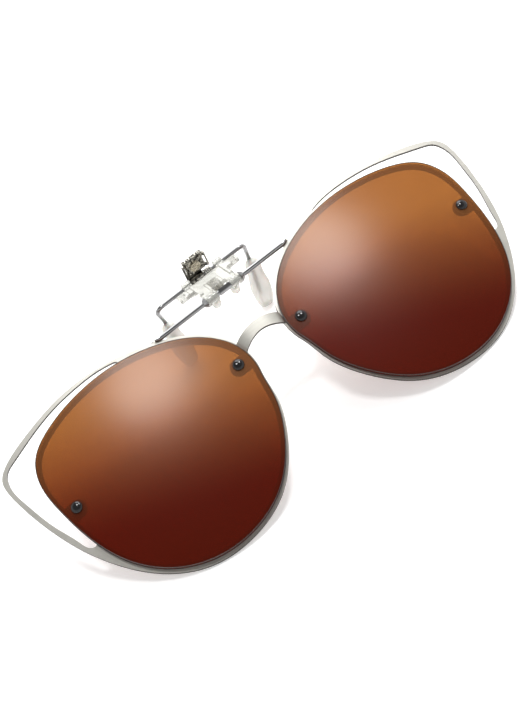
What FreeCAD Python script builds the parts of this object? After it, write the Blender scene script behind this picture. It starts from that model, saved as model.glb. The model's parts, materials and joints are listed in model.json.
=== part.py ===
import FreeCAD, Part
import math
import os
from FreeCAD import Placement, Rotation, Vector

# Clip-on flip-up cat-eye lenses, in millimetres.
# Every sub-part is drawn in the lens frame: X across the face, Y up as worn, Z out of the lens front,
# with the origin on the symmetry plane at the lenses' mid height.  The whole assembly is then laid on a
# table by one placement, resting on the lower rims and on the tips of the two paddles.

SIZES = {
    "base_radius": 325.0,       # spherical curve of the lens front
    "lens_thickness": 1.1,
    "lens_gap": 0.04,           # air between each lens and the sheet behind it
    "sheet_thickness": 0.86,
    "rim_band": 1.15,           # width of the ring that backs each lens
    "lens_width": 58.4,
    "screw_inner_x": 9.9,
    "screw_inner_y": 6.1,
    "screw_outer_x": 61.5,
    "screw_outer_y": 5.2,
    "screw_head_radius": 1.5,
    "screw_head_height": 0.85,
    "screw_shank_radius": 0.7,
    "washer_radius": 1.7,
    "washer_thickness": 0.25,
    "washer_gap": 0.01,         # the flat washer touches the curved sheet at its centre only
    "nut_flats": 2.5,
    "nut_thickness": 0.9,
    "lug_radius": 2.3,
    "lug_reach": 1.4,           # how far each lug is drawn out to join its ring
    "bridge_radius": 12.5,      # arch of the bridge, about Y
    "bridge_half": 7.3,
    "wire_radius": 0.65,        # front cross wire
    "wire_y": 25.5,
    "wire_z": -2.5,
    "wire_half": 19.6,          # straight half length
    "tail_reach": 1.3,          # bent end beside the rim
    "clip_shift": 0.5,          # the clip sits this far off centre on its wire
    "running_gap": 0.06,        # radial clearance of the knuckles
    "cam_width": 1.5,
    "cam_length": 3.5,
    "collar_radius": 1.55,
    "collar_length": 0.9,
    "knuckle_radius": 1.45,
    "front_knuckle_out": 5.3,   # outer end of the front knuckles from the clip's centre
    "front_knuckle_in": 1.95,
    "rear_dy": 9.8,             # rear wire, from the front wire
    "rear_dz": -6.8,
    "web_thickness": 1.5,
    "web_half": 5.2,
    "block_half": 6.3,
    "bar_distance": 8.9,        # cross bar, from the front wire along the web
    "wing_half": 9.4,
    "wing_depth": 2.7,
    "finger_radius": 0.6,
    "pad_radius": 1.25,
    "pad_dx": 3.05,
    "pad_dy": -0.5,
    "pad_dz": -2.3,
    "leaf_thickness": 0.25,
    "leaf_width": 2.9,
    "rivet_radius": 0.5,
    "jaw_radius": 0.6,          # rear wire
    "jaw_half": 14.35,
    "jaw_shift": -0.5,          # the jaw wire and the paddles, off the symmetry plane
    "paddle_shift": 0.3,
    "jaw_bend": 1.8,
    "lever_width": 6.9,
    "lever_height": 7.0,
    "lever_lean": 18.0,         # degrees from the lens normal
    "lever_sheet": 0.45,
    "badge_radius": 1.5,
    "badge_height": 0.35,
    "coil_radius": 1.0,
    "coil_wire": 0.2,
    "coil_turns": 4.0,
    "coil_pitch": 0.55,
    "paddle_length": 17.0,
    "paddle_width": 5.4,
    "paddle_thickness": 3.0,
    "table_tilt": 25.0,         # lens plane to table, clip side up
    "table_y": -8.04,
    "table_z": 17.55,
}

# Right-hand outlines seen from the front; the left side is the mirror image.
LENS_EDGE = [(6.8, 1.5), (7.8, 12.3), (14.2, 20.0), (23.5, 25.1), (34.0, 27.8), (45.0, 28.0),
             (55.0, 26.0), (61.8, 22.2), (64.8, 16.2), (65.1, 8.0), (63.8, -2.4), (60.8, -12.0),
             (54.6, -20.8), (44.5, -26.9), (33.0, -28.1), (22.4, -24.7), (13.6, -16.3), (8.4, -6.0)]
RIM_EDGE = [(6.3, 2.0), (6.9, 12.5), (13.4, 21.0), (24.4, 27.0), (36.0, 30.4), (48.5, 31.3),
            (60.0, 29.5), (67.6, 27.3), (71.2, 24.8), (72.0, 19.0), (70.4, 8.6), (67.4, -2.0),
            (63.0, -11.4), (55.8, -21.0), (45.6, -27.6), (34.0, -29.0), (22.0, -25.4),
            (13.0, -16.6), (7.8, -6.0)]
CAT_EYE_CUT = [(32.2, 27.0), (31.4, 28.2), (33.6, 29.3), (41.0, 30.3), (49.5, 30.1), (58.0, 28.6),
               (66.0, 26.4), (69.4, 24.9), (70.7, 22.0), (70.3, 15.0), (68.6, 6.2), (66.2, -1.6),
               (65.0, -4.4), (64.0, -5.0), (62.9, -3.4)]
BRIDGE_TOP = [(7.3, 10.9), (4.6, 11.9), (0.0, 12.5)]
BRIDGE_FOOT = [(0.0, 9.6), (4.4, 8.6), (7.3, 7.0)]
SIDES = {"right": 1, "left": -1}

doc = FreeCAD.newDocument("flip_lenses")
sheet = doc.addObject("Spreadsheet::Sheet", "sizes")
for row, (alias, value) in enumerate(SIZES.items(), start=1):
    sheet.set(f"A{row}", alias)
    sheet.set(f"B{row}", str(value))
    sheet.setAlias(f"B{row}", alias)
doc.recompute()

TABLE = Placement(Vector(0, sheet.table_y, sheet.table_z), Rotation(Vector(1, 0, 0), sheet.table_tilt))
FRONT_AXIS = Vector(0, sheet.wire_y, sheet.wire_z)
REAR_AXIS = FRONT_AXIS + Vector(0, sheet.rear_dy, sheet.rear_dz)
nodes = []


def add(kind, name, **sizes):
    """An object of the document, with each named property bound to an expression of the sheet."""
    made = doc.addObject(kind, name)
    for prop, expression in sizes.items():
        made.setExpression(prop, expression)
    return made


def finish(made, label, placement=Placement()):
    """Keep an object as a sub-part of the object, laid on the table."""
    made.Label = label
    made.Placement = TABLE.multiply(placement)
    nodes.append(made)
    return made


def cut(name, base, *tools):
    """Base less every tool."""
    made = doc.addObject("Part::Cut", name)
    made.Base = base
    made.Tool = tools[0] if len(tools) == 1 else fuse(name + "_tools", *tools)
    return made


def fuse(name, *shapes):
    made = doc.addObject("Part::MultiFuse", name)
    made.Shapes = list(shapes)
    made.Refine = True
    return made


def common(name, first, second):
    made = doc.addObject("Part::MultiCommon", name)
    made.Shapes = [first, second]
    return made


def body_sketch(name, role):
    """A PartDesign body with one sketch on the named origin plane."""
    body = doc.addObject("PartDesign::Body", name)
    sketch = body.newObject("Sketcher::SketchObject", name + "_sketch")
    plane = [item for item in body.Origin.OriginFeatures if item.Role == role][0]
    sketch.AttachmentSupport = [(plane, "")]
    sketch.MapMode = "FlatFace"
    return body, sketch


def spline(points, side=1, closed=True):
    """Smooth curve through points of the XY plane, mirrored when side is -1."""
    curve = Part.BSplineCurve()
    curve.interpolate([Vector(side * x, y, 0) for x, y in points], PeriodicFlag=closed)
    return curve


def slab(name, curves, low=-16.0, high=4.0):
    """Everything inside a flat closed outline, from low to high along Z."""
    body, sketch = body_sketch(name, "XY_Plane")
    for curve in curves:
        sketch.addGeometry(curve, False)
    sketch.AttachmentOffset = Placement(Vector(0, 0, low), Rotation())
    pad = body.newObject("PartDesign::Pad", name + "_pad")
    pad.Profile = sketch
    pad.Length = high - low
    return body


def inset(points, distance):
    """The lens outline shrunk about its own centre by a distance at its widest."""
    scale = 1 - 2 * distance / sheet.lens_width
    middle_x = sum(x for x, _ in points) / len(points)
    middle_y = sum(y for _, y in points) / len(points)
    return [(middle_x + (x - middle_x) * scale, middle_y + (y - middle_y) * scale) for x, y in points]


def ball(name, depth):
    """Solid sphere under the lens front, at a depth given by an expression."""
    made = add("Part::Sphere", name, Radius=f"sizes.base_radius - ({depth})")
    made.Placement = Placement(Vector(0, 0, -sheet.base_radius), Rotation())
    return made


def shell(name, top, bottom):
    """Spherical layer between two depths below the lens front."""
    return cut(name, ball(name + "_outer", top), ball(name + "_inner", bottom))


def rod(name, start, end, radius):
    """Round bar between two points; its radius is an expression of the sheet."""
    way = end - start
    made = add("Part::Cylinder", name, Radius=radius)
    made.Height = way.Length
    made.Placement = Placement(start, Rotation(Vector(0, 0, 1), way))
    return made


def x_rod(name, axis, low, high, radius):
    """Round bar along X through a point of the YZ plane."""
    return rod(name, Vector(low, axis.y, axis.z), Vector(high, axis.y, axis.z), radius)


def screw_seats():
    """Placements on the lens front at the four screws, Z along the local normal."""
    seats = []
    for side in SIDES.values():
        for x, y in ((sheet.screw_inner_x, sheet.screw_inner_y), (sheet.screw_outer_x, sheet.screw_outer_y)):
            centre = Vector(0, 0, -sheet.base_radius)
            normal = Vector(side * x, y, math.sqrt(sheet.base_radius ** 2 - x * x - y * y)).normalize()
            seats.append(Placement(centre + normal * sheet.base_radius, Rotation(Vector(0, 0, 1), normal)))
    return seats


SEATS = screw_seats()


def seat_rods(name, radius, low, high):
    """Bars on the four screw axes, from low to high along each."""
    made = []
    for number, seat in enumerate(SEATS):
        start = seat.multVec(Vector(0, 0, low))
        end = seat.multVec(Vector(0, 0, high))
        made.append(rod(f"{name}_{number}", start, end, radius))
    return made


def lenses():
    """Two tinted lenses, each drilled for its two screws."""
    for label, side in SIDES.items():
        blank = slab(f"lens_blank_{label}", [spline(LENS_EDGE, side)])
        layer = shell(f"lens_layer_{label}", "0", "sizes.lens_thickness")
        disc = common(f"lens_disc_{label}", blank, layer)
        holes = seat_rods(f"lens_hole_{label}", "sizes.screw_shank_radius + 0.1", -6, 3)
        finish(cut(f"lens_cut_{label}", disc, *holes), f"lens_{label}")


def rim_blank(label, side):
    """One rim seen from the front: ring, screw lugs and the open cat-eye corner."""
    outside = slab(f"rim_outside_{label}", [spline(RIM_EDGE, side)])
    opening = slab(f"rim_opening_{label}", [spline(inset(LENS_EDGE, sheet.rim_band), side)])
    ring = cut(f"rim_ring_{label}", outside, opening)
    seats = SEATS[:2] if side == 1 else SEATS[2:]
    lugs = []
    for seat in seats:
        from_middle = abs(seat.Base.x) - 36
        outward = math.copysign(sheet.lug_reach, side * from_middle)
        for x in (seat.Base.x, seat.Base.x + outward):
            start = Vector(x, seat.Base.y, -16)
            end = Vector(x, seat.Base.y, 4)
            lugs.append(rod(f"lug_{label}_{len(lugs)}", start, end, "sizes.lug_radius"))
    first, last = CAT_EYE_CUT[0], CAT_EYE_CUT[-1]
    chord = Part.LineSegment(Vector(side * last[0], last[1], 0), Vector(side * first[0], first[1], 0))
    corner = slab(f"corner_{label}", [spline(CAT_EYE_CUT, side, closed=False), chord])
    behind_lens = slab(f"behind_lens_{label}", [spline(inset(LENS_EDGE, 0.15), side)])
    window = cut(f"corner_window_{label}", corner, behind_lens)
    return cut(f"rim_{label}", fuse(f"rim_full_{label}", ring, *lugs), window)


def bridge():
    """Arched strip between the rims, bulging forward about Y."""
    radius = sheet.bridge_radius
    half = sheet.bridge_half
    top = [(-x, y) for x, y in BRIDGE_TOP] + BRIDGE_TOP[-2::-1]
    foot = BRIDGE_FOOT[::-1] + [(-x, y) for x, y in BRIDGE_FOOT[1:]]
    ends = []
    for side in (1, -1):
        ends.append(Part.LineSegment(Vector(side * half, BRIDGE_TOP[0][1], 0),
                                     Vector(side * half, BRIDGE_FOOT[-1][1], 0)))
    strip = slab("bridge_strip", [spline(top, 1, False), spline(foot, 1, False)] + ends)
    seat_z = -sheet.lens_thickness - sheet.lens_gap - (half ** 2 + 10 ** 2) / (2 * sheet.base_radius)
    centre_z = seat_z - math.sqrt(radius ** 2 - (half - 0.6) ** 2)
    outer = add("Part::Cylinder", "bridge_outer", Radius="sizes.bridge_radius")
    inner = add("Part::Cylinder", "bridge_inner", Radius="sizes.bridge_radius - sizes.sheet_thickness")
    for tube in (outer, inner):
        tube.Height = 30
        tube.Placement = Placement(Vector(0, -5, centre_z), Rotation(Vector(0, 0, 1), Vector(0, 1, 0)))
    return common("bridge", strip, cut("bridge_arch", outer, inner))


def front_frame():
    """One stamped sheet: both rims and the bridge."""
    rims = fuse("rims", rim_blank("right", 1), rim_blank("left", -1))
    layer = shell("sheet_layer", "sizes.lens_thickness + sizes.lens_gap",
                  "sizes.lens_thickness + sizes.lens_gap + sizes.sheet_thickness")
    holes = seat_rods("frame_hole", "sizes.screw_shank_radius + 0.05", -8, 3)
    whole = fuse("frame_whole", common("rim_sheet", rims, layer), bridge())
    finish(cut("frame_cut", whole, *holes), "front_frame")


def lens_screws():
    """Four dome-headed screws on the lens front."""
    screws = []
    for number, seat in enumerate(SEATS):
        body, sketch = body_sketch(f"screw_{number}", "XZ_Plane")
        head, rise, shank = sheet.screw_head_radius, sheet.screw_head_height, sheet.screw_shank_radius
        grip = sheet.lens_thickness + sheet.lens_gap + sheet.sheet_thickness + sheet.washer_thickness
        depth = -(grip + sheet.nut_thickness + 0.3)
        dome = Part.Arc(Vector(0, rise, 0), Vector(head * 0.72, rise * 0.66, 0), Vector(head, 0.12, 0))
        corners = [Vector(head, 0.12, 0), Vector(head, 0, 0), Vector(shank, 0, 0), Vector(shank, depth, 0),
                   Vector(0, depth, 0), Vector(0, rise, 0)]
        sketch.addGeometry(dome, False)
        for start, end in zip(corners, corners[1:]):
            sketch.addGeometry(Part.LineSegment(start, end), False)
        turned = body.newObject("PartDesign::Revolution", f"screw_turned_{number}")
        turned.Profile = sketch
        turned.ReferenceAxis = (sketch, ["V_Axis"])
        turned.Angle = 360
        body.Placement = seat
        screws.append(body)
    group = doc.addObject("Part::Compound", "screw_group")
    group.Links = screws
    finish(group, "lens_screws")


def screw_backs():
    """A clear washer and a hexagonal nut behind the sheet on each screw."""
    sheet_back = -(sheet.lens_thickness + sheet.lens_gap + sheet.sheet_thickness + sheet.washer_gap)
    washer_back = sheet_back - sheet.washer_thickness
    nut_back = washer_back - sheet.nut_thickness
    washers = []
    nuts = []
    for number, seat in enumerate(SEATS):
        pierce = add("Part::Cylinder", f"pierce_{number}", Radius="sizes.screw_shank_radius")
        pierce.Height = 8
        pierce.Placement = seat.multiply(Placement(Vector(0, 0, -8), Rotation()))
        disc = add("Part::Cylinder", f"washer_disc_{number}", Radius="sizes.washer_radius",
                   Height="sizes.washer_thickness")
        disc.Placement = seat.multiply(Placement(Vector(0, 0, washer_back), Rotation()))
        washers.append(cut(f"washer_{number}", disc, pierce))
        hexagon = add("Part::Prism", f"nut_hexagon_{number}", Circumradius="sizes.nut_flats / sqrt(3)",
                      Height="sizes.nut_thickness")
        hexagon.Polygon = 6
        hexagon.Placement = seat.multiply(Placement(Vector(0, 0, nut_back), Rotation()))
        corners_off = add("Part::Sphere", f"nut_round_{number}", Radius="sizes.nut_flats * 0.6")
        corners_off.Placement = seat.multiply(Placement(Vector(0, 0, washer_back - 0.3), Rotation()))
        nuts.append(cut(f"nut_{number}", common(f"nut_body_{number}", hexagon, corners_off), pierce))
    for label, parts in (("screw_washers", washers), ("screw_nuts", nuts)):
        group = doc.addObject("Part::Compound", label + "_group")
        group.Links = parts
        finish(group, label)


def bent_wire(name, points, bends, radius):
    """Round wire through points with a rounded corner of the given bend radius at each inner one."""
    edges = []
    start = points[0]
    for before, corner, after, bend in zip(points, points[1:], points[2:], bends):
        arriving = (corner - before).normalize()
        leaving = (after - corner).normalize()
        turn = arriving.getAngle(leaving)
        reach = bend * math.tan(turn / 2)
        first = corner - arriving * reach
        last = corner + leaving * reach
        inward = (leaving - arriving).normalize()
        middle = corner + inward * (bend / math.cos(turn / 2) - bend)
        edges.append(Part.LineSegment(start, first).toShape())
        edges.append(Part.Arc(first, middle, last).toShape())
        start = last
    edges.append(Part.LineSegment(start, points[-1]).toShape())
    path = Part.Wire(edges)
    heading = (points[1] - points[0]).normalize()
    profile = Part.Wire(Part.Circle(points[0], heading, radius).toShape())
    made = doc.addObject("Part::Feature", name)
    made.Shape = path.makePipeShell([profile], True, True)
    return made


def cross_wire():
    """Straight wire between the rims with a short tail bent along each rim."""
    half, reach = sheet.wire_half, sheet.tail_reach
    points = []
    for side in (-1, 1):
        straight = Vector(side * half, sheet.wire_y, sheet.wire_z)
        tail = straight + Vector(side * reach, 0.45 * reach, -0.12 * reach)
        points += [tail, straight] if side == -1 else [straight, tail]
    finish(bent_wire("cross_wire_bent", points, [1.2, 1.2], sheet.wire_radius), "cross_wire")


def wire_solder():
    """A drop of solder joins each tail to its rim."""
    drops = []
    for label, side in SIDES.items():
        drop = add("Part::Ellipsoid", f"solder_{label}")
        drop.Radius1 = 0.62
        drop.Radius2 = 1.5
        drop.Radius3 = 0.8
        tilt = Rotation(Vector(0, 0, 1), side * 27)
        seat = Vector(side * (sheet.wire_half + 1.2), sheet.wire_y + 0.1, sheet.wire_z - 0.9)
        drop.Placement = Placement(seat, tilt)
        drops.append(drop)
    group = doc.addObject("Part::Compound", "solder_group")
    group.Links = drops
    finish(group, "wire_solder")


def wire_fittings():
    """The square detent cam in the middle of the wire and a collar outside each knuckle."""
    middle = sheet.clip_shift + 0.45
    core = x_rod("cam_core", FRONT_AXIS, middle - 4, middle + 4, "sizes.wire_radius")
    block = add("Part::Box", "cam_block", Length="sizes.cam_length", Width="sizes.cam_width",
                Height="sizes.cam_width")
    block.Placement = Placement(Vector(middle - sheet.cam_length / 2, sheet.wire_y - sheet.cam_width / 2,
                                       sheet.wire_z - sheet.cam_width / 2), Rotation())
    limit = x_rod("cam_limit", FRONT_AXIS, middle - 4, middle + 4, "sizes.cam_width * 0.6")
    finish(cut("cam", common("cam_rounded", block, limit), core), "detent_cam")

    collars = []
    for side in (1, -1):
        inner_face = sheet.clip_shift + side * (sheet.front_knuckle_out + 0.15)
        cone = add("Part::Cone", f"collar_cone_{side + 1}", Radius1="sizes.collar_radius",
                   Radius2="sizes.wire_radius + 0.25", Height="sizes.collar_length")
        cone.Placement = Placement(Vector(inner_face, sheet.wire_y, sheet.wire_z),
                                   Rotation(Vector(0, 0, 1), Vector(side, 0, 0)))
        bore = x_rod(f"collar_bore_{side + 1}", FRONT_AXIS, inner_face - 3, inner_face + 3,
                     "sizes.wire_radius")
        collars.append(cut(f"collar_{side + 1}", cone, bore))
    group = doc.addObject("Part::Compound", "collar_group")
    group.Links = collars
    finish(group, "wire_collars")


def along_web(distance, lift=0.0):
    """Point of the YZ plane at a distance from the front axis towards the rear one, and a lift off it."""
    way = (REAR_AXIS - FRONT_AXIS).normalize()
    up = Vector(0, -way.z, way.y)
    return FRONT_AXIS + way * distance + up * lift


WEB_LENGTH = (REAR_AXIS - FRONT_AXIS).Length
WEB_TURN = Rotation(Vector(0, 1, 0), REAR_AXIS - FRONT_AXIS)


def web_box(name, low_x, high_x, near, far, low, high):
    """Box in the plane of the web: X limits, distances from the front axis, and heights off the web."""
    made = doc.addObject("Part::Box", name)
    made.Length = high_x - low_x
    made.Width = far - near
    made.Height = high - low
    corner = along_web(near, low)
    made.Placement = Placement(Vector(low_x, corner.y, corner.z), WEB_TURN)
    return made


def front_knuckle(shift, side):
    """One ribbed front knuckle with its finger root, from the clip's centre outwards."""
    low, high = sorted((shift + side * sheet.front_knuckle_in, shift + side * sheet.front_knuckle_out))
    parts = [x_rod(f"knuckle_front_{side + 1}", FRONT_AXIS, low, high, "sizes.knuckle_radius - 0.25")]
    rib = 0.7
    start = low
    while start + rib <= high + 0.01:
        name = f"rib_{side + 1}_{len(parts)}"
        parts.append(x_rod(name, FRONT_AXIS, start, start + rib, "sizes.knuckle_radius"))
        start += 1.32
    parts.append(web_box(f"knuckle_root_{side + 1}", low, high, 0.2, 3.2, -0.55, 0.75))
    finger_x = shift + side * sheet.pad_dx
    tip = FRONT_AXIS + Vector(finger_x, sheet.pad_dy, sheet.pad_dz)
    parts.append(rod(f"finger_{side + 1}", FRONT_AXIS + Vector(finger_x, 0, 0), tip, "sizes.finger_radius"))
    return parts


def clip_body():
    """Clear moulded body: front knuckles and fingers, web, rear knuckles and the cross bar's wings."""
    shift = sheet.clip_shift
    half = sheet.web_thickness / 2
    bar = sheet.bar_distance
    web_end = WEB_LENGTH - 2.0
    parts = []
    for side in (1, -1):
        parts += front_knuckle(shift, side)
        low, high = sorted((shift + side * (sheet.block_half - 2.4), shift + side * sheet.block_half))
        parts.append(x_rod(f"knuckle_rear_{side + 1}", REAR_AXIS, low, high, "sizes.knuckle_radius"))
        parts.append(web_box(f"rear_root_{side + 1}", low, high, bar - 1.9, WEB_LENGTH, -half, half))
    parts.append(web_box("web", shift - sheet.web_half, shift + sheet.web_half, 2.6, web_end, -half, half))
    parts.append(web_box("cross_bar", shift - sheet.wing_half, shift + sheet.wing_half,
                         bar - sheet.wing_depth / 2, bar + sheet.wing_depth / 2, -half, half - 0.2))
    for side in (1, -1):
        low, high = sorted((shift + side * (sheet.web_half - 1.0), shift + side * sheet.web_half))
        parts.append(web_box(f"side_rail_{side + 1}", low, high, 2.6, web_end, half - 0.1, half + 0.6))
    solid = fuse("clip_solid", *parts)
    cam_reach = sheet.front_knuckle_in + 0.18

    tools = [x_rod("front_bore", FRONT_AXIS, -12, 12, "sizes.wire_radius + sizes.running_gap"),
             x_rod("rear_bore", REAR_AXIS, -12, 12, "sizes.jaw_radius + sizes.running_gap"),
             web_box("cam_pocket", shift - cam_reach + 0.2, shift + cam_reach + 0.2, -3, 2.7, -2.4, 2.4),
             web_box("spring_recess", shift - 2.2, shift + 2.2, 1.0, 7.4, -2, -half + 0.35)]
    for side in (1, -1):
        low, high = sorted((shift + side * 7.3, shift + side * 8.8))
        tools.append(web_box(f"wing_window_{side + 1}", low, high, bar - 0.7, bar + 0.7, -2, 2))
    finish(cut("clip_cut", solid, *tools), "clip_body")


def detent_spring():
    """Leaf spring under the web whose free end bears on the cam, and its two rivets."""
    shift = sheet.clip_shift
    floor = -sheet.web_thickness / 2 + 0.35
    low, high = shift - sheet.leaf_width / 2, shift + sheet.leaf_width / 2
    leaf = web_box("leaf", low, high, 1.35, 6.9, floor - sheet.leaf_thickness, floor)
    holes = []
    rivets = []
    for number, distance in enumerate((4.6, 6.1)):
        top = along_web(distance, floor + 0.9) + Vector(shift, 0, 0)
        under = along_web(distance, floor - sheet.leaf_thickness) + Vector(shift, 0, 0)
        foot = along_web(distance, floor - sheet.leaf_thickness - 0.3) + Vector(shift, 0, 0)
        holes.append(rod(f"leaf_hole_{number}", foot, top, "sizes.rivet_radius"))
        head = rod(f"rivet_head_{number}", foot, under, "sizes.rivet_radius + 0.3")
        shank = rod(f"rivet_shank_{number}", foot, top, "sizes.rivet_radius")
        rivets.append(fuse(f"rivet_{number}", head, shank))
    finish(cut("leaf_pierced", leaf, *holes), "detent_spring")
    group = doc.addObject("Part::Compound", "rivet_group")
    group.Links = rivets
    finish(group, "spring_rivets")


def front_pads():
    """Soft cap on each front finger, round at its free end."""
    for label, side in SIDES.items():
        tip = FRONT_AXIS + Vector(sheet.clip_shift + side * sheet.pad_dx, sheet.pad_dy, sheet.pad_dz)
        back = Vector(0, -sheet.pad_dy, -sheet.pad_dz).normalize()
        barrel = rod(f"pad_barrel_{label}", tip - back * 0.5, tip + back * 0.55, "sizes.pad_radius")
        dome = add("Part::Sphere", f"pad_dome_{label}", Radius="sizes.pad_radius")
        dome.Placement = Placement(tip - back * 0.5, Rotation())
        finish(fuse(f"pad_{label}", barrel, dome), f"front_pad_{label}")


LEG = [(13.95, -0.3, -6.5), (13.5, -2.3, -13.0), (13.0, -4.6, -19.5)]


def jaw_wire():
    """Rear wire: straight across the body, both ends bent down into dog-leg legs."""
    points = []
    for side in (-1, 1):
        corner = REAR_AXIS + Vector(sheet.jaw_shift + side * sheet.jaw_half, 0, 0)
        leg = [REAR_AXIS + Vector(sheet.paddle_shift + side * x, y, z) for x, y, z in LEG]
        points += leg[::-1] + [corner] if side == -1 else [corner] + leg
    bends = [6.0, 6.0, sheet.jaw_bend, sheet.jaw_bend, 6.0, 6.0]
    finish(bent_wire("jaw_wire_bent", points, bends, sheet.jaw_radius), "jaw_wire")


def paddles():
    """Soft leaf-shaped paddle moulded over the end of each leg."""
    length, width = sheet.paddle_length, sheet.paddle_width
    outline = [(0.0, 0.0), (1.5, -0.6), (2.05, -4.0), (width / 2, -9.5), (width / 2 - 0.3, -14.0),
               (1.5, -length + 0.4), (0.0, -length)]
    outline += [(-x, y) for x, y in outline[-2:0:-1]]
    for label, side in SIDES.items():
        body, sketch = body_sketch(f"paddle_body_{label}", "XZ_Plane")
        sketch.addGeometry(spline(outline), False)
        pad = body.newObject("PartDesign::Pad", f"paddle_pad_{label}")
        pad.Profile = sketch
        pad.setExpression("Length", "sizes.paddle_thickness")
        pad.Midplane = True
        doc.recompute()
        round_off = body.newObject("PartDesign::Fillet", f"paddle_round_{label}")
        round_off.Base = (pad, ["Face2", "Face3"])
        round_off.Radius = 1.1
        top = REAR_AXIS + Vector(sheet.paddle_shift + side * LEG[0][0], LEG[0][1] - 1.2, LEG[0][2] - 0.6)
        lean = Rotation(Vector(1, 0, 0), -20)
        splay = Rotation(Vector(0, 1, 0), side * 4)
        finish(body, f"paddle_{label}", Placement(top, lean.multiply(splay)))


def lever_frame():
    """Placement whose Z runs up the lever from the rear axis and whose Y is its back."""
    return Placement(REAR_AXIS, Rotation(Vector(1, 0, 0), -sheet.lever_lean))


def lever_sheet(name, width, height, place, turn=0.0):
    """Upright piece of the lever's sheet from a lower corner, turned about its first edge."""
    made = add("Part::Box", name, Width="sizes.lever_sheet")
    made.Length = width
    made.Height = height
    middle_of_edge = Placement(Vector(0, -sheet.lever_sheet / 2, 0), Rotation())
    made.Placement = Placement(place, Rotation(Vector(0, 0, 1), turn)).multiply(middle_of_edge)
    return made


def lever_rod(name, low, high, place, radius):
    """Round bar along X in the lever's own frame; its radius is an expression of the sheet."""
    return rod(name, Vector(low, place.y, place.z), Vector(high, place.y, place.z), radius)


def lever_wings(middle, root):
    """The two side wings, folded back, and the slot through each."""
    half, rise = sheet.lever_width / 2, sheet.lever_height
    wings, slots = [], []
    for side, turn in ((1, -35), (-1, 215)):
        fold = Vector(middle + side * (half - 1.15), root, 1.9)
        wings.append(lever_sheet(f"lever_wing_{side + 1}", 1.5, rise - 2.0, fold, turn))
        slot = add("Part::Box", f"lever_slot_{side + 1}")
        slot.Length, slot.Width, slot.Height = 0.6, 2, rise - 4.4
        inside = Placement(Vector(0.5, -1, 1.2), Rotation())
        slot.Placement = Placement(fold, Rotation(Vector(0, 0, 1), turn)).multiply(inside)
        slots.append(slot)
    return wings, slots


def thumb_lever():
    """Stamped lever rolled round the rear wire, with side wings, a serrated curled edge and a badge."""
    middle = sheet.clip_shift - 0.55
    half, rise = sheet.lever_width / 2, sheet.lever_height
    root = sheet.jaw_radius + sheet.lever_sheet / 2
    low, high = middle - half + 0.3, middle + half - 2.5
    wings, slots = lever_wings(middle, root)
    parts = [lever_rod("lever_roll", low, high, Vector(), "sizes.jaw_radius + sizes.lever_sheet"),
             lever_sheet("lever_neck", high - low, 1.9, Vector(low, root, 0)),
             lever_sheet("lever_panel", 2 * half - 2, rise - 1.5, Vector(middle - half + 1, root, 1.5)),
             lever_rod("lever_curl", middle - half + 0.5, middle + half - 0.5, Vector(0, root, rise),
                       "sizes.lever_sheet * 1.1")]
    notches = []
    count = 9
    for number in range(count):
        notch = doc.addObject("Part::Box", f"lever_notch_{number}")
        notch.Length, notch.Width, notch.Height = 0.28, 2.0, 0.5
        x = middle - half + 0.9 + number * (2 * half - 1.8) / (count - 1)
        notch.Placement = Placement(Vector(x - notch.Length.Value / 2, root - 1.0, rise + 0.28), Rotation())
        notches.append(notch)
    bore = lever_rod("lever_bore", -10, 10, Vector(), "sizes.jaw_radius")
    lever = cut("lever_cut", fuse("lever_solid", *parts, *wings), bore, *slots, *notches)
    finish(lever, "thumb_lever", lever_frame())

    front = root - sheet.lever_sheet / 2
    disc = add("Part::Cylinder", "badge_disc", Radius="sizes.badge_radius", Height="sizes.badge_height")
    centre = Vector(middle, front, rise * 0.55)
    disc.Placement = Placement(centre, Rotation(Vector(0, 0, 1), Vector(0, -1, 0)))
    dish = add("Part::Sphere", "badge_dish", Radius="sizes.badge_radius * 1.5")
    dish.Placement = Placement(centre - Vector(0, 1.5 * sheet.badge_radius + 0.12, 0), Rotation())
    finish(cut("badge", disc, dish), "lever_badge", lever_frame())


def torsion_spring():
    """Coil round the rear wire beside the lever's knuckle."""
    pitch, turns, radius, thick = sheet.coil_pitch, sheet.coil_turns, sheet.coil_radius, sheet.coil_wire
    helix = Part.makeHelix(pitch, pitch * turns, radius)
    profile = Part.Wire(Part.Circle(Vector(radius, 0, 0), Vector(0, 1, 0), thick).toShape())
    coil = Part.Wire(helix).makePipeShell([profile], True, True)
    made = doc.addObject("Part::Feature", "torsion_coil")
    made.Shape = coil
    start = Vector(sheet.clip_shift + 0.75, 0, 0)
    finish(made, "torsion_spring", Placement(REAR_AXIS + start, Rotation(Vector(0, 0, 1), Vector(1, 0, 0))))


def check():
    """Stop on any failed object, and on any sub-part that is not a set of closed solids."""
    doc.recompute()
    for item in doc.Objects:
        if "Invalid" in item.State or "Error" in item.State:
            raise RuntimeError(f"{item.Name} ({item.Label}) failed: {item.State}")
    for made in nodes:
        shape = made.Shape
        if shape.isNull() or not shape.isValid() or not shape.Solids:
            raise RuntimeError(f"{made.Label} is not a valid solid")


def write():
    os.makedirs("parts", exist_ok=True)
    whole = FreeCAD.BoundBox()
    for made in nodes:
        made.Shape.exportStep(f"parts/{made.Label}.step")
        whole.add(made.Shape.BoundBox)
        print(f"{made.Label:16} {len(made.Shape.Solids)} solid(s) {made.Shape.Volume:9.2f} mm3")
    print("box", whole)
    for name, axis in (("front axis", FRONT_AXIS), ("rear axis", REAR_AXIS)):
        print(name, TABLE.multVec(axis))


lenses()
front_frame()
lens_screws()
screw_backs()
cross_wire()
wire_solder()
wire_fittings()
clip_body()
detent_spring()
front_pads()
jaw_wire()
paddles()
thumb_lever()
torsion_spring()
check()
write()
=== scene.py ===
import json
import math
import bmesh
import bpy
from mathutils import Matrix, Vector


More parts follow.
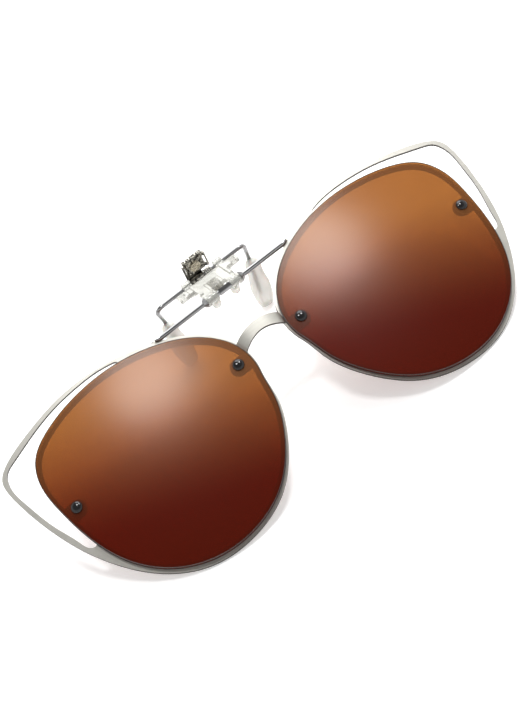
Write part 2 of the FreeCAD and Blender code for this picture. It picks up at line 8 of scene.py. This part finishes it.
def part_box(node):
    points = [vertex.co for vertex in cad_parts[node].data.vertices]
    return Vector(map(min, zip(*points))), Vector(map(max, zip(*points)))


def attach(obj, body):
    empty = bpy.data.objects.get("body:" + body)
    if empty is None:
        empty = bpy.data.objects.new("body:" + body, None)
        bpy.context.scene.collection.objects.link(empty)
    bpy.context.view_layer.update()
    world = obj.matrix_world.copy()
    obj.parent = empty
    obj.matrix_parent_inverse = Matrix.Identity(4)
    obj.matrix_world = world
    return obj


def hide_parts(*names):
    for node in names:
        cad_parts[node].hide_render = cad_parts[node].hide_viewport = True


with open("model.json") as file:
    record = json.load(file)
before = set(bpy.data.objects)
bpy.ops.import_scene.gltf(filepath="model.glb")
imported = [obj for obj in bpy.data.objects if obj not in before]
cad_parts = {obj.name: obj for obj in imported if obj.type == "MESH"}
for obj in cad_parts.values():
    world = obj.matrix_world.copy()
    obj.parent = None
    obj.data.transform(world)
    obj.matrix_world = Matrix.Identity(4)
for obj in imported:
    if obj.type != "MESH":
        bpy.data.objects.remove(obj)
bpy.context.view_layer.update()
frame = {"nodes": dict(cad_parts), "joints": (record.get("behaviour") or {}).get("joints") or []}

MM = 0.001


# The table top and the light round it.  A matt white sheet with a faint light of its own, under a
# pale surround that is dim straight overhead, one broad lamp from the right and two small round
# lamps whose soft glow lies on the inner half of each lens.
class Signal:
    """A socket of a node tree that arithmetic works on; node() adds every other kind of node."""

    def __init__(self, tree, socket=None):
        self.tree = tree
        self.socket = socket

    def node(self, kind, settings, inputs, output=0):
        made = self.tree.nodes.new(kind)
        stops = settings.pop("stops", [])
        for name, value in settings.items():
            setattr(made, name, value)
        for number, (place, colour) in enumerate(stops):
            ramp = made.color_ramp.elements
            element = ramp.new(place) if 0 < number < len(stops) - 1 else ramp[0 if number == 0 else -1]
            element.position = place
            element.color = (*colour, 1.0)
        for key, value in inputs.items():
            if isinstance(value, Signal):
                self.tree.links.new(value.socket, made.inputs[key])
            else:
                made.inputs[key].default_value = value
        return Signal(self.tree, made.outputs[output]) if made.outputs else None

    def maths(self, operation, first, second=0.0):
        return self.node("ShaderNodeMath", {"operation": operation}, {0: first, 1: second})

    def __add__(self, other):
        return self.maths("ADD", self, other)

    __radd__ = __add__

    def __mul__(self, other):
        return self.maths("MULTIPLY", self, other)

    __rmul__ = __mul__

    def dot(self, vector):
        """Dot product of this vector with another."""
        return self.node("ShaderNodeVectorMath", {"operation": "DOT_PRODUCT"},
                         {0: self, 1: vector}, "Value")

    def minus(self, vector):
        """This vector less another."""
        return self.node("ShaderNodeVectorMath", {"operation": "SUBTRACT"}, {0: self, 1: vector})

    def ramp(self, *stops):
        """Colour from this value, through stops of (place, colour)."""
        return self.node("ShaderNodeValToRGB", {"stops": stops}, {"Fac": self})

    def mix(self, low, high):
        """Colour between low and high by this value."""
        return self.node("ShaderNodeMix", {"data_type": "RGBA"}, {0: self, 6: low, 7: high}, 2)

    def fit(self, low, high, first=0.0, last=1.0):
        """This value carried from the range low to high onto first to last, and held there."""
        return self.node("ShaderNodeMapRange", {"interpolation_type": "SMOOTHSTEP"},
                         {0: self, 1: low, 2: high, 3: first, 4: last})


def finish(name, surface):
    """A material whose shader is what surface() returns for its first signal."""
    made = bpy.data.materials.new(name)
    made.use_nodes = True
    made.node_tree.nodes.clear()
    start = Signal(made.node_tree)
    start.node("ShaderNodeOutputMaterial", {}, {"Surface": surface(start)})
    return made


def grain(start, scale, detail=3.0, stretch=(1.0, 1.0, 1.0)):
    """Cloudy value from 0 to 1 on object coordinates; scale is in repeats to the metre."""
    here = start.node("ShaderNodeTexCoord", {}, {}, "Object")
    stretched = start.node("ShaderNodeMapping", {}, {"Vector": here, "Scale": stretch})
    return start.node("ShaderNodeTexNoise", {}, {"Vector": stretched, "Scale": scale, "Detail": detail})


def relief(start, height, depth, strength=1.0):
    """Normal for a height from 0 to 1 that stands for a depth in metres."""
    return start.node("ShaderNodeBump", {}, {"Strength": strength, "Distance": depth, "Height": height})


def principled(start, **values):
    """A Principled shader; an underscore in a name stands for a space."""
    named = {name.replace("_", " "): value for name, value in values.items()}
    return start.node("ShaderNodeBsdfPrincipled", {}, named)


PAPER_LIGHT = 0.28


def paper(start):
    cloud = grain(start, 40.0)
    tooth = grain(start, 2500.0)
    return principled(start, Base_Color=cloud.mix((0.90, 0.90, 0.90, 1), (0.93, 0.93, 0.93, 1)),
                      Roughness=0.85, Specular_IOR_Level=0.2, Emission_Color=(1.0, 0.99, 0.98, 1),
                      Emission_Strength=PAPER_LIGHT, Normal=relief(start, tooth, 0.00002, 0.4))


def joined(name, vertices, faces, surface):
    """Plain mesh object at the origin, smooth-shaded, linked to the scene."""
    mesh = bpy.data.meshes.new(name)
    mesh.from_pydata([tuple(v) for v in vertices], [], faces)
    mesh.materials.append(surface)
    for polygon in mesh.polygons:
        polygon.use_smooth = True
    made = bpy.data.objects.new(name, mesh)
    bpy.context.scene.collection.objects.link(made)
    return made


FLOOR_HALF = 1.5
floor = joined("table_top", [(-FLOOR_HALF, -FLOOR_HALF, 0), (FLOOR_HALF, -FLOOR_HALF, 0),
                             (FLOOR_HALF, FLOOR_HALF, 0), (-FLOOR_HALF, FLOOR_HALF, 0)],
               [(0, 1, 2, 3)], finish("white_paper", paper))

surround = bpy.data.worlds.new("surround")
surround.use_nodes = True
surround.node_tree.nodes.clear()
sky = Signal(surround.node_tree)
toward = sky.node("ShaderNodeTexCoord", {}, {}, "Generated")
height = sky.node("ShaderNodeSeparateXYZ", {}, {0: toward}, 2)
SKY_GREYS = ((0.0, 0.60), (0.08, 0.50), (0.25, 1.0), (0.54, 1.0), (0.72, 0.22), (1.0, 0.14))
SKY_STRENGTH = 1.30
glow = height.ramp(*((place, (grey, grey, grey)) for place, grey in SKY_GREYS))
backdrop = sky.node("ShaderNodeBackground", {}, {"Color": glow, "Strength": SKY_STRENGTH})
sky.node("ShaderNodeOutputWorld", {}, {"Surface": backdrop})
bpy.context.scene.world = surround
bpy.context.scene.view_settings.view_transform = "Standard"


def lamp(name, toward, distance, radius, watts):
    """Round area lamp at a distance along a direction from the object, facing it."""
    data = bpy.data.lights.new(name, "AREA")
    data.shape = "DISK"
    data.size = 2 * radius
    data.energy = watts
    made = bpy.data.objects.new(name, data)
    made.location = Vector(toward).normalized() * distance
    made.rotation_euler = Vector(toward).to_track_quat("Z", "Y").to_euler()
    bpy.context.scene.collection.objects.link(made)


lamp("broad_lamp", (0.45, 0.75, 0.95), distance=0.9, radius=0.34, watts=5.5)
lamp("left_glow", (-0.07, 0.10, 1.0), distance=0.7, radius=0.07, watts=1.6)
lamp("right_glow", (0.40, 0.11, 0.91), distance=0.7, radius=0.07, watts=1.6)

AZIMUTH, ELEVATION, ROLL = math.radians(-14.29), math.radians(42.22), math.radians(-28.45)
AIM = Vector((-5.33, -5.02, 19.33)) * MM
DISTANCE, NEAREST = 417.9 * MM, 10 * MM
FOCAL_LENGTH, SENSOR_WIDTH = 86.1, 36.0
back = Vector((math.sin(AZIMUTH) * math.cos(ELEVATION), -math.cos(AZIMUTH) * math.cos(ELEVATION),
               math.sin(ELEVATION)))
level = Vector((math.cos(AZIMUTH), math.sin(AZIMUTH), 0))
right = level * math.cos(ROLL) + back.cross(level) * math.sin(ROLL)
camera = bpy.data.objects.new("camera", bpy.data.cameras.new("camera"))
camera.data.lens = FOCAL_LENGTH
camera.data.sensor_width = SENSOR_WIDTH
camera.data.clip_start = NEAREST
camera.matrix_world = (Matrix.Translation(AIM + back * DISTANCE)
                       @ Matrix((right, back.cross(right), back)).transposed().to_4x4())
bpy.context.scene.collection.objects.link(camera)
bpy.context.scene.camera = camera


# The stamped front.  Both rims, their open cat-eye corners and the bridge are one sheet of nickel
# silver, pressed to the curve of the lenses, satin brushed along its length and plated.
def dress(surface, *nodes):
    """Give frame nodes a finish."""
    for node in nodes:
        for held in frame["nodes"][node].material_slots:
            held.material = surface


TILT = math.radians(25.0)       # of the front to the table
FACE_NORMAL = (0.0, -math.sin(TILT), math.cos(TILT))


def satin(start):
    brushing = grain(start, 700.0, 4.0, (0.12, 3.0, 3.0))
    wear = grain(start, 160.0)
    facing = start.node("ShaderNodeNewGeometry", {}, {}, "Normal")
    level = facing.dot(FACE_NORMAL)
    # Painted shade: the walls of the sheet's cut edges, picked out by their normal, are painted near
    # black in place of the dark reflection and shade they show.
    edge_wall_painted_shade = start.maths("ABSOLUTE", level).fit(0.35, 0.75, 1.0, 0.0)
    tone = (0.5 * brushing + 0.5 * wear).mix((0.33, 0.32, 0.29, 1), (0.46, 0.45, 0.415, 1))
    return principled(start, Base_Color=edge_wall_painted_shade.mix(tone, (0.06, 0.055, 0.05, 1)), Metallic=1.0,
                      Roughness=wear.fit(0.3, 0.75, 0.46, 0.58),
                      Normal=relief(start, brushing, 0.00003, 0.5))


dress(finish("satin_nickel", satin), "front_frame")


# The two lenses.  Each is cut from brown polarised sheet, dyed darker towards its foot and hard
# coated; its ground edge is blackened, which reads as a fine dark outline.
GOLDEN, MAROON = (0.56, 0.33, 0.14, 1), (0.28, 0.030, 0.006, 1)
FADE_WAY = (0.40, 0.83, 0.39)
FADE_START, FADE_END, FADE_RIPPLE = -15 * MM, 22 * MM, 2 * MM


def tint(side):
    """Brown tint that fades from golden to maroon across one lens, under a glossy hard coat."""
    low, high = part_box(f"lens_{side}")
    centre = (low + high) / 2

    def surface(start):
        here = start.node("ShaderNodeTexCoord", {}, {}, "Object")
        along = here.minus(centre).dot(FADE_WAY)
        level = (along + FADE_RIPPLE * grain(start, 60.0)).fit(FADE_START, FADE_END)
        golden = start.node("ShaderNodeBsdfTransparent", {}, {"Color": GOLDEN})
        maroon = start.node("ShaderNodeBsdfTransparent", {}, {"Color": MAROON})
        clear = start.node("ShaderNodeMixShader", {}, {0: level, 1: maroon, 2: golden})
        wiped = grain(start, 25.0, 5.0)
        body = principled(start, Base_Color=level.mix((0.12, 0.009, 0.001, 1), (0.30, 0.120, 0.034, 1)),
                          Roughness=wiped.fit(0.2, 0.8, 0.16, 0.24), Specular_IOR_Level=0.2,
                          Coat_Weight=0.4, Coat_Roughness=0.22)
        return start.node("ShaderNodeMixShader", {},
                          {0: level.fit(0.0, 1.0, 0.42, 0.36), 1: clear, 2: body})

    return surface


for side in ("left", "right"):
    dress(finish(f"brown_lens_{side}", tint(side)), f"lens_{side}")


def black_edge(start):
    scratches = grain(start, 3000.0)
    return principled(start, Base_Color=scratches.mix((0.010, 0.006, 0.005, 1), (0.03, 0.018, 0.014, 1)),
                      Roughness=scratches.fit(0.2, 0.8, 0.25, 0.45))


def new_tree(name, **inputs):
    """Geometry node tree with named inputs of (socket kind, value), and its first signals by name."""
    made = bpy.data.node_groups.new(name, "GeometryNodeTree")
    made.interface.new_socket("Geometry", in_out="INPUT", socket_type="NodeSocketGeometry")
    for label, (kind, value) in inputs.items():
        socket = made.interface.new_socket(label.replace("_", " "), in_out="INPUT",
                                           socket_type="NodeSocket" + kind)
        if value is not None:
            socket.default_value = value
    made.interface.new_socket("Geometry", in_out="OUTPUT", socket_type="NodeSocketGeometry")
    start = made.nodes.new("NodeGroupInput")
    return {socket.name: Signal(made, socket) for socket in start.outputs if socket.name}


def close_tree(geometry, surface):
    """Realize the instances, set the material and end the tree."""
    real = geometry.node("GeometryNodeRealizeInstances", {}, {0: geometry})
    painted = real.node("GeometryNodeSetMaterial", {}, {0: real, "Material": surface})
    painted.node("NodeGroupOutput", {}, {0: painted})
    return geometry.tree


def grown(name, tree, mesh, **values):
    """Run a tree on a mesh and keep the result as a plain mesh object."""
    holder = bpy.data.objects.new(name, mesh)
    bpy.context.scene.collection.objects.link(holder)
    modifier = holder.modifiers.new("grow", "NODES")
    modifier.node_group = tree
    for item in tree.interface.items_tree:
        label = item.name.replace(" ", "_")
        if item.in_out == "INPUT" and label in values:
            modifier[item.identifier] = values[label]
    result = bpy.data.meshes.new_from_object(holder.evaluated_get(bpy.context.evaluated_depsgraph_get()))
    holder.modifiers.clear()
    holder.data = result
    for polygon in result.polygons:
        polygon.use_smooth = True
    return holder


EDGE_BEAD, EDGE_SIDES = 0.11 * MM, 8
SHARP_BEND, WELD_GAP = 1.0, 1e-6
sockets = new_tree("edge_line", Bead_Radius=("Float", EDGE_BEAD), Sides=("Int", EDGE_SIDES),
                   Surface=("Material", None))
welded = sockets["Geometry"].node("GeometryNodeMergeByDistance", {},
                                  {0: sockets["Geometry"], "Distance": WELD_GAP})
bend = welded.node("GeometryNodeInputMeshEdgeAngle", {}, {}, 0)
sharp = welded.node("FunctionNodeCompare", {"data_type": "FLOAT", "operation": "GREATER_THAN"},
                    {0: bend, 1: SHARP_BEND})
run = welded.node("GeometryNodeMeshToCurve", {}, {0: welded, "Selection": sharp})
profile = welded.node("GeometryNodeCurvePrimitiveCircle", {"mode": "RADIUS"},
                      {0: sockets["Sides"], "Radius": sockets["Bead Radius"]})
bead = run.node("GeometryNodeCurveToMesh", {}, {0: run, 1: profile})
edge_line = close_tree(bead, sockets["Surface"])
edge_finish = finish("blackened_edge", black_edge)
for side in ("left", "right"):
    lens_edge = grown(f"lens_edge_{side}", edge_line, frame["nodes"][f"lens_{side}"].data.copy(),
                      Bead_Radius=EDGE_BEAD, Sides=EDGE_SIDES, Surface=edge_finish)
    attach(lens_edge, "lens_front")


# The four lens screws.  Each is a small black-lacquered dome head whose shank passes through lens
# and sheet; behind the sheet it carries a nylon washer and a bright six-sided nut.
WIRE_IN_FACE = Vector((0.0, 25.5, -2.5)) * MM
BASE_RADIUS = 325.0 * MM
LENS_THICKNESS, LENS_GAP, SHEET_THICKNESS = 1.1 * MM, 0.04 * MM, 0.86 * MM
SCREW_PLACES = [(side * x * MM, y * MM) for side in (-1, 1) for x, y in ((9.9, 6.1), (61.5, 5.2))]
flip_at, jaw_at = [Vector(joint["pos_m"]) for joint in frame["joints"]]
face = Matrix.Translation(flip_at) @ Matrix.Rotation(TILT, 4, "X") @ Matrix.Translation(-WIRE_IN_FACE)
curve_centre = face @ Vector((0, 0, -BASE_RADIUS))


def spun(name, outline, segments, surface):
    """Solid turned about Z from (radius, height) points, base first; a radius of 0 is a pole."""
    vertices, rings = [], []
    for radius, height in outline:
        count = segments if radius > 0 else 1
        rings.append(range(len(vertices), len(vertices) + count))
        for number in range(count):
            turn = 2 * math.pi * number / segments
            vertices.append((radius * math.cos(turn), radius * math.sin(turn), height))
    return joined(name, vertices, ring_faces(rings), surface)


def ring_faces(rings):
    """Faces between successive rings of vertex numbers; a ring of one closes the skin as a pole."""
    faces = []
    for low, high in zip(rings, rings[1:]):
        count = max(len(low), len(high))
        for number in range(count):
            after = (number + 1) % count
            corners = [low[number % len(low)], low[after % len(low)],
                       high[after % len(high)], high[number % len(high)]]
            faces.append(tuple(dict.fromkeys(corners)))
    return faces


def arc_outline(radius, rise, start, steps):
    """Points of a dome's outline from its rim up to its pole."""
    turns = [math.pi / 2 * number / steps for number in range(steps)]
    curve = [(radius * math.cos(turn), start + rise * math.sin(turn)) for turn in turns]
    return curve + [(0, start + rise)]


sockets = new_tree("set_on_lens", Part=("Object", None), Curve_Centre=("Vector", (0, 0, 0)),
                   Surface=("Material", None))
place = sockets["Geometry"].node("GeometryNodeInputPosition", {}, {})
outward = place.minus(sockets["Curve Centre"])
turn = place.node("FunctionNodeAlignRotationToVector", {"axis": "Z"}, {"Vector": outward})
part = place.node("GeometryNodeObjectInfo", {"transform_space": "ORIGINAL"},
                  {0: sockets["Part"]}, "Geometry")
placed = place.node("GeometryNodeInstanceOnPoints", {},
                    {"Points": sockets["Geometry"], "Instance": part, "Rotation": turn})
set_on_lens = close_tree(placed, sockets["Surface"])


def lacquer(start):
    fine = grain(start, 2200.0)
    return principled(start, Base_Color=fine.mix((0.006, 0.006, 0.007, 1), (0.014, 0.013, 0.013, 1)),
                      Roughness=fine.fit(0.3, 0.7, 0.07, 0.12), Specular_IOR_Level=0.35)


def nylon(start):
    cloud = grain(start, 1500.0)
    return principled(start, Base_Color=cloud.mix((0.70, 0.69, 0.64, 1), (0.82, 0.81, 0.77, 1)),
                      Roughness=0.4, Alpha=0.75)


def turned_steel(start):
    lines = grain(start, 900.0, 3.0, (1.0, 1.0, 9.0))
    return principled(start, Base_Color=lines.mix((0.52, 0.51, 0.49, 1), (0.75, 0.74, 0.72, 1)),
                      Metallic=1.0, Roughness=lines.fit(0.3, 0.7, 0.18, 0.34),
                      Normal=relief(start, lines, 0.00002, 0.5))


HEAD_RADIUS, HEAD_RISE, SHANK_RADIUS, SHANK_END = 1.5 * MM, 0.85 * MM, 0.7 * MM, 1.45 * MM
SKIRT, BEVEL, BEVEL_RISE, ROUND_STEPS, ROUND_SIDES = 0.15 * MM, 0.12 * MM, 0.1 * MM, 10, 40
seats = bpy.data.meshes.new("seats")
seats.from_pydata([face @ Vector((x, y, math.sqrt(BASE_RADIUS ** 2 - x * x - y * y) - BASE_RADIUS))
                   for x, y in SCREW_PLACES], [], [])
tip = -LENS_THICKNESS - LENS_GAP - SHEET_THICKNESS - SHANK_END
screw_outline = ([(0, tip), (SHANK_RADIUS - SKIRT, tip), (SHANK_RADIUS, tip + SKIRT),
                  (SHANK_RADIUS, 0), (HEAD_RADIUS - BEVEL, 0), (HEAD_RADIUS, BEVEL_RISE)]
                 + arc_outline(HEAD_RADIUS, HEAD_RISE - SKIRT, SKIRT, ROUND_STEPS))
black_lacquer = finish("black_lacquer", lacquer)
pattern = spun("screw_pattern", screw_outline, ROUND_SIDES, black_lacquer)
screws = grown("lens_screw_heads", set_on_lens, seats, Part=pattern, Curve_Centre=curve_centre,
               Surface=black_lacquer)
bpy.data.objects.remove(pattern)
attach(screws, "lens_front")
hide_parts("lens_screws")
dress(finish("clear_nylon", nylon), "screw_washers")
dress(finish("turned_steel", turned_steel), "screw_nuts")


# The cross wire and what is on it.  Hard chromed steel wire, its bent ends soldered to the backs of
# the rims; a square detent cam in the middle and a small cone collar outside each knuckle.
def chrome(start):
    drawn = grain(start, 500.0, 3.0, (0.15, 6.0, 6.0))
    specks = grain(start, 2600.0)
    return principled(start, Base_Color=drawn.mix((0.10, 0.10, 0.105, 1), (0.44, 0.44, 0.44, 1)),
                      Metallic=1.0, Roughness=specks.fit(0.35, 0.8, 0.07, 0.16),
                      Normal=relief(start, drawn, 0.00001, 0.4))


def solder(start):
    lumps = grain(start, 900.0)
    return principled(start, Base_Color=lumps.mix((0.50, 0.49, 0.46, 1), (0.66, 0.64, 0.60, 1)),
                      Metallic=1.0, Roughness=lumps.fit(0.3, 0.7, 0.28, 0.5),
                      Normal=relief(start, lumps, 0.00008, 0.6))


wire_finish = finish("chromed_wire", chrome)
dress(wire_finish, "cross_wire", "detent_cam", "wire_collars")
dress(finish("soft_solder", solder), "wire_solder")


# The clip body.  One clear moulding: two ribbed knuckles and their fingers on the cross wire, a web
# with side rails, two wings with windows, and the knuckles that carry the jaw wire.
def weld(node):
    """Copy of a frame node's mesh with its loose triangles joined."""
    mesh = frame["nodes"][node].data.copy()
    shape = bmesh.new()
    shape.from_mesh(mesh)
    bmesh.ops.remove_doubles(shape, verts=shape.verts, dist=WELD_GAP)
    shape.to_mesh(mesh)
    shape.free()
    return mesh


def moulded(name, node, voxel, rounds, surface):
    """Copy of a frame node with the slightly rounded corners of a moulding."""
    piece = bpy.data.objects.new(name, weld(node))
    bpy.context.scene.collection.objects.link(piece)
    skin = piece.modifiers.new("skin", "REMESH")
    skin.mode = "VOXEL"
    skin.voxel_size = voxel
    relax = piece.modifiers.new("relax", "SMOOTH")
    relax.factor = 0.5
    relax.iterations = rounds
    mesh = bpy.data.meshes.new_from_object(piece.evaluated_get(bpy.context.evaluated_depsgraph_get()))
    piece.modifiers.clear()
    piece.data = mesh
    mesh.materials.clear()
    mesh.materials.append(surface)
    for polygon in mesh.polygons:
        polygon.use_smooth = True
    return piece


def clear_plastic(start):
    flow = grain(start, 350.0, 4.0)
    glassy = principled(start, Base_Color=flow.mix((0.50, 0.50, 0.47, 1), (0.72, 0.72, 0.68, 1)),
                        Roughness=flow.fit(0.3, 0.8, 0.05, 0.16), Transmission_Weight=0.72, IOR=1.46,
                        Normal=relief(start, flow, 0.00004, 0.4))
    passing = start.node("ShaderNodeBsdfTransparent", {}, {"Color": (0.95, 0.95, 0.94, 1)})
    shadow = start.node("ShaderNodeLightPath", {}, {}, "Is Shadow Ray")
    return start.node("ShaderNodeMixShader", {}, {0: shadow, 1: glassy, 2: passing})


clip_moulding = moulded("clip_moulding", "clip_body", voxel=0.1 * MM, rounds=4,
                        surface=finish("clear_plastic", clear_plastic))
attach(clip_moulding, "clip")
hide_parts("clip_body")


# The detent spring.  A leaf of spring steel in the floor of the web whose free end bears on the cam,
# held by two small rivets.
def spring_steel(start):
    rolled = grain(start, 800.0, 4.0, (5.0, 0.4, 0.4))
    return principled(start, Base_Color=rolled.mix((0.46, 0.45, 0.42, 1), (0.68, 0.66, 0.62, 1)),
                      Metallic=1.0, Roughness=rolled.fit(0.3, 0.7, 0.16, 0.30),
                      Normal=relief(start, rolled, 0.00002, 0.5))


spring_finish = finish("spring_steel", spring_steel)
dress(spring_finish, "detent_spring", "spring_rivets")


# The two front pads.  Soft milky silicone caps pushed over the fingers of the body; they take the
# front of the spectacle bridge.
def silicone(start):
    milk = grain(start, 260.0, 4.0)
    rim = start.node("ShaderNodeLayerWeight", {}, {"Blend": 0.35}, "Facing")
    tooth = grain(start, 3200.0)
    return principled(start, Base_Color=milk.mix((0.58, 0.57, 0.52, 1), (0.70, 0.69, 0.64, 1)),
                      Roughness=milk.fit(0.3, 0.7, 0.30, 0.45),
                      Alpha=(rim + 0.25 * milk).fit(0.0, 1.0, 0.52, 0.85),
                      Subsurface_Weight=0.2, Subsurface_Scale=0.002,
                      Normal=relief(start, tooth, 0.00002, 0.3))


silicone_finish = finish("milky_silicone", silicone)
for side in ("left", "right"):
    pad = moulded(f"pad_{side}", f"front_pad_{side}", voxel=0.1 * MM, rounds=8, surface=silicone_finish)
    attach(pad, "clip")
    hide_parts(f"front_pad_{side}")


# The torsion spring.  Four turns of fine spring wire round the jaw wire beside the lever, with one
# arm lying on the body and one hooked behind the lever.
COIL_RADIUS, COIL_WIRE, COIL_PITCH, COIL_TURNS = 1.0 * MM, 0.2 * MM, 0.55 * MM, 4
STEPS_PER_TURN, COIL_SIDES = 24, 10
REAR_ARM, FRONT_ARM = Vector((-0.6, 0.1, 3.0)) * MM, Vector((0.3, -2.6, -1.2)) * MM
coil_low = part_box("torsion_spring")[0]


def coil_path():
    """Points of the spring: its rear arm, the turns about the jaw wire, and its front arm."""
    start_x = coil_low.x + COIL_WIRE
    steps = STEPS_PER_TURN * COIL_TURNS
    turns = []
    for number in range(steps + 1):
        angle = 2 * math.pi * COIL_TURNS * number / steps
        turns.append(jaw_at + Vector((start_x - jaw_at.x + COIL_PITCH * COIL_TURNS * number / steps,
                                      COIL_RADIUS * math.cos(angle), COIL_RADIUS * math.sin(angle))))
    return [turns[0] + REAR_ARM] + turns + [turns[-1] + FRONT_ARM]


sockets = new_tree("bent_spring", Wire_Radius=("Float", COIL_WIRE), Sides=("Int", COIL_SIDES),
                   Surface=("Material", None))
run = sockets["Geometry"].node("GeometryNodeMeshToCurve", {}, {0: sockets["Geometry"]})
profile = run.node("GeometryNodeCurvePrimitiveCircle", {"mode": "RADIUS"},
                   {0: sockets["Sides"], "Radius": sockets["Wire Radius"]})
bent_spring = close_tree(run.node("GeometryNodeCurveToMesh", {}, {0: run, 1: profile, "Fill Caps": True}),
                         sockets["Surface"])
path = coil_path()
line = bpy.data.meshes.new("coil_line")
line.from_pydata(path, [(number, number + 1) for number in range(len(path) - 1)], [])
coil = grown("coil_spring", bent_spring, line, Wire_Radius=COIL_WIRE, Sides=COIL_SIDES,
             Surface=spring_finish)
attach(coil, "clip")
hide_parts("torsion_spring")


# The jaw wire.  Hard chromed wire, a little thinner than the cross wire.  It turns in the body's
# rear knuckles and is bent down at both ends into the legs that carry the paddles.
dress(wire_finish, "jaw_wire")


# The thumb lever.  Chromed pressing rolled round the jaw wire, its edge curled and serrated for the
# thumb, with a plain dished badge in the middle.
def antique(start):
    patina = grain(start, 1200.0, 4.0)
    return principled(start, Base_Color=patina.mix((0.30, 0.25, 0.17, 1), (0.72, 0.68, 0.58, 1)),
                      Metallic=1.0, Roughness=patina.fit(0.3, 0.7, 0.16, 0.34),
                      Normal=relief(start, patina, 0.00005, 0.6))


def dark_chrome(start):
    painted_reflection_noise = grain(start, 1600.0, 4.0)
    # Painted reflection: the noise paints near-black and bright blotches on the chrome in place of what
    # it would mirror; the same noise sets the roughness.
    bright = painted_reflection_noise.fit(0.35, 0.65)
    return principled(start, Base_Color=bright.mix((0.035, 0.032, 0.028, 1), (0.50, 0.48, 0.43, 1)),
                      Metallic=1.0, Roughness=painted_reflection_noise.fit(0.3, 0.7, 0.24, 0.10),
                      Normal=relief(start, painted_reflection_noise, 0.00006, 0.6))


dress(finish("dark_chrome", dark_chrome), "thumb_lever")
dress(finish("antique_chrome", antique), "lever_badge")


# The two paddles.  Milky silicone leaves moulded over the ends of the jaw wire; they press on the
# back of the spectacle lenses.
for side in ("left", "right"):
    paddle = moulded(f"leaf_{side}", f"paddle_{side}", voxel=0.15 * MM, rounds=8, surface=silicone_finish)
    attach(paddle, "jaw")
    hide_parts(f"paddle_{side}")
